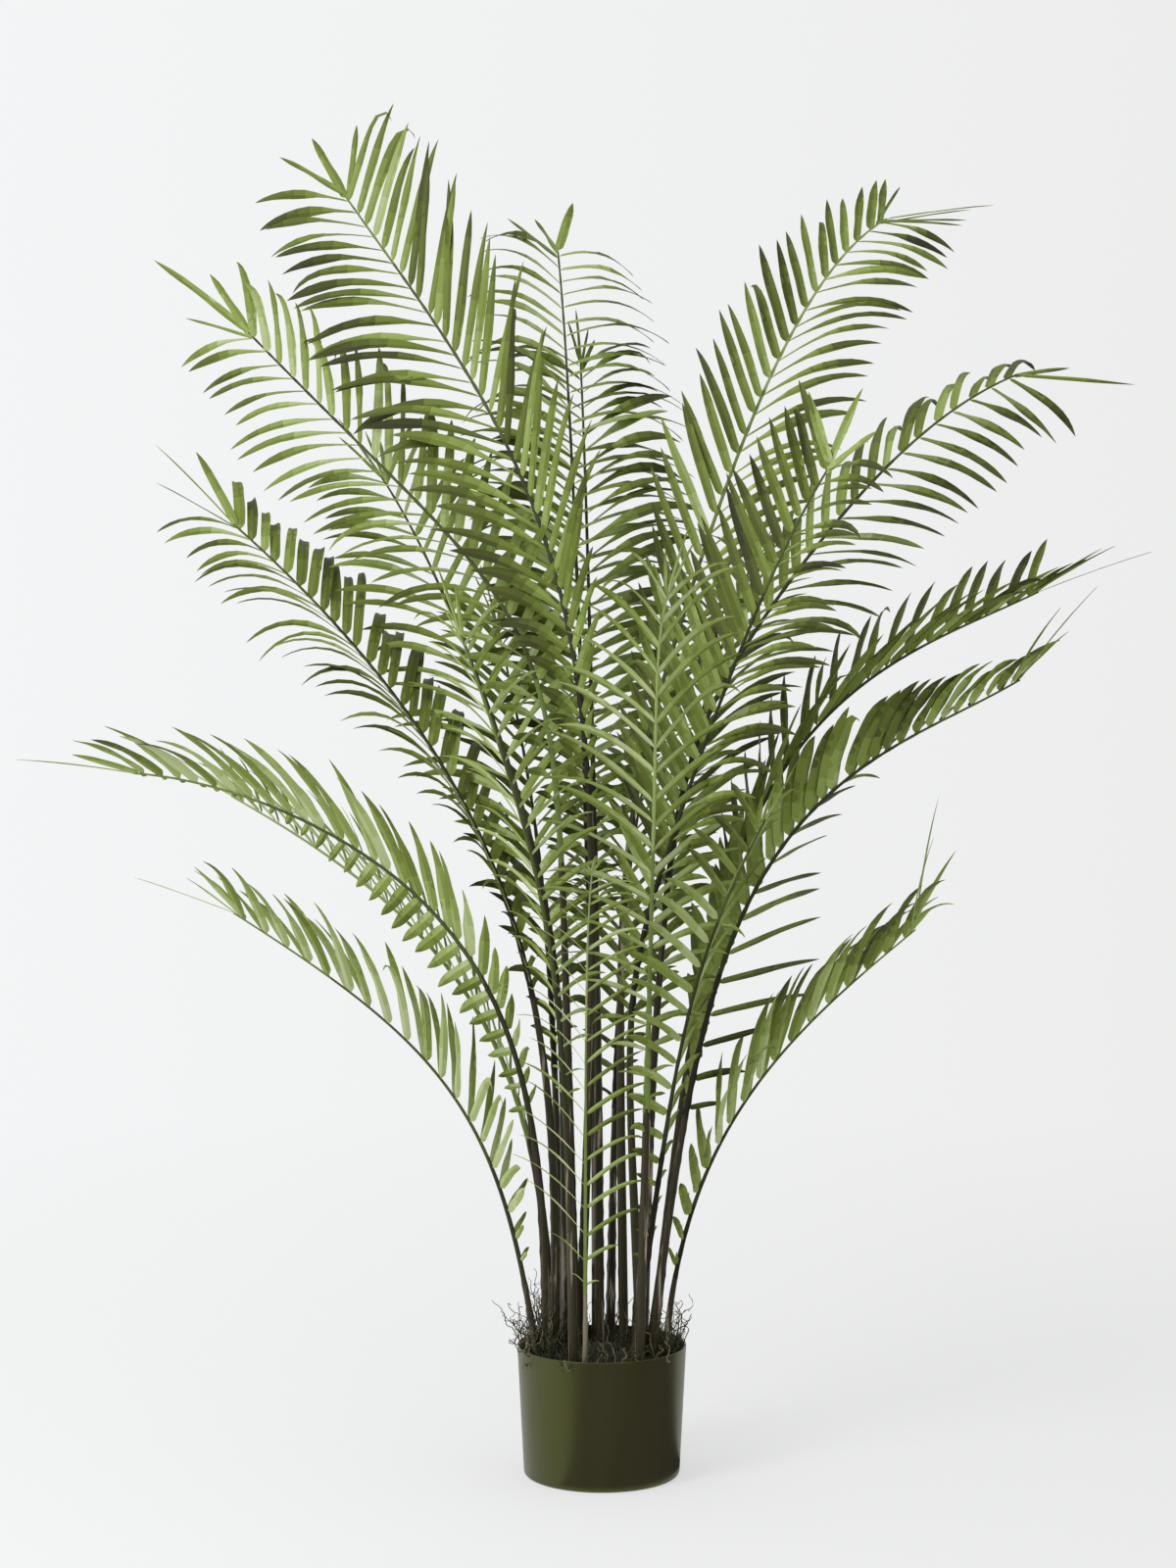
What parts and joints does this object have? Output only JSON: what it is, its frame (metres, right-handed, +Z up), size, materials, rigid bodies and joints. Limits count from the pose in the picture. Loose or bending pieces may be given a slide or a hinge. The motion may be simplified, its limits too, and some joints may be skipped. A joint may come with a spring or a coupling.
{
  "type": "artificial date palm in a round plastic pot",
  "caption": "Artificial date palm: feather-shaped fronds on slender stems rise from one clump and arch outwards over a round, slightly tapered pot that stands on its flat underside.",
  "frame": {"origin": "centre of the pot's flat underside, on the floor", "axes": "+Z up along the stems, -Y towards the side that the picture shows, +X to its right"},
  "size_m": [1.2483, 0.885, 1.5321],
  "materials": {
    "pot_plastic": "satin",
    "fill": "rough",
    "stem_plastic": "matte",
    "frond_green": "matte"
  },
  "bodies": {
    "root": {"pot": "pot_plastic", "fill": "fill", "stem_top_left": "stem_plastic", "frond_top_left": "frond_green", "stem_high_left": "stem_plastic", "frond_high_left": "frond_green", "stem_middle_left": "stem_plastic", "frond_middle_left": "frond_green", "stem_low_left": "stem_plastic", "frond_low_left": "frond_green", "stem_low_back_left": "stem_plastic", "frond_low_back_left": "frond_green", "stem_lowest_left": "stem_plastic", "frond_lowest_left": "frond_green", "stem_inner_left": "stem_plastic", "frond_inner_left": "frond_green", "stem_top_back": "stem_plastic", "frond_top_back": "frond_green", "stem_middle_back": "stem_plastic", "frond_middle_back": "frond_green", "stem_top_right": "stem_plastic", "frond_top_right": "frond_green", "stem_high_right": "stem_plastic", "frond_high_right": "frond_green", "stem_inner_right": "stem_plastic", "frond_inner_right": "frond_green", "stem_middle_right": "stem_plastic", "frond_middle_right": "frond_green", "stem_low_right": "stem_plastic", "frond_low_right": "frond_green", "stem_lowest_right": "stem_plastic", "frond_lowest_right": "frond_green", "stem_lowest_front": "stem_plastic", "frond_lowest_front": "frond_green", "stem_tall_front": "stem_plastic", "frond_tall_front": "frond_green", "stem_front_left": "stem_plastic", "frond_front_left": "frond_green", "stem_front_right": "stem_plastic", "frond_front_right": "frond_green", "stem_low_back": "stem_plastic", "frond_low_back": "frond_green", "stem_back_right": "stem_plastic", "frond_back_right": "frond_green", "stem_back_left": "stem_plastic", "frond_back_left": "frond_green"}
  },
  "joints": []
}
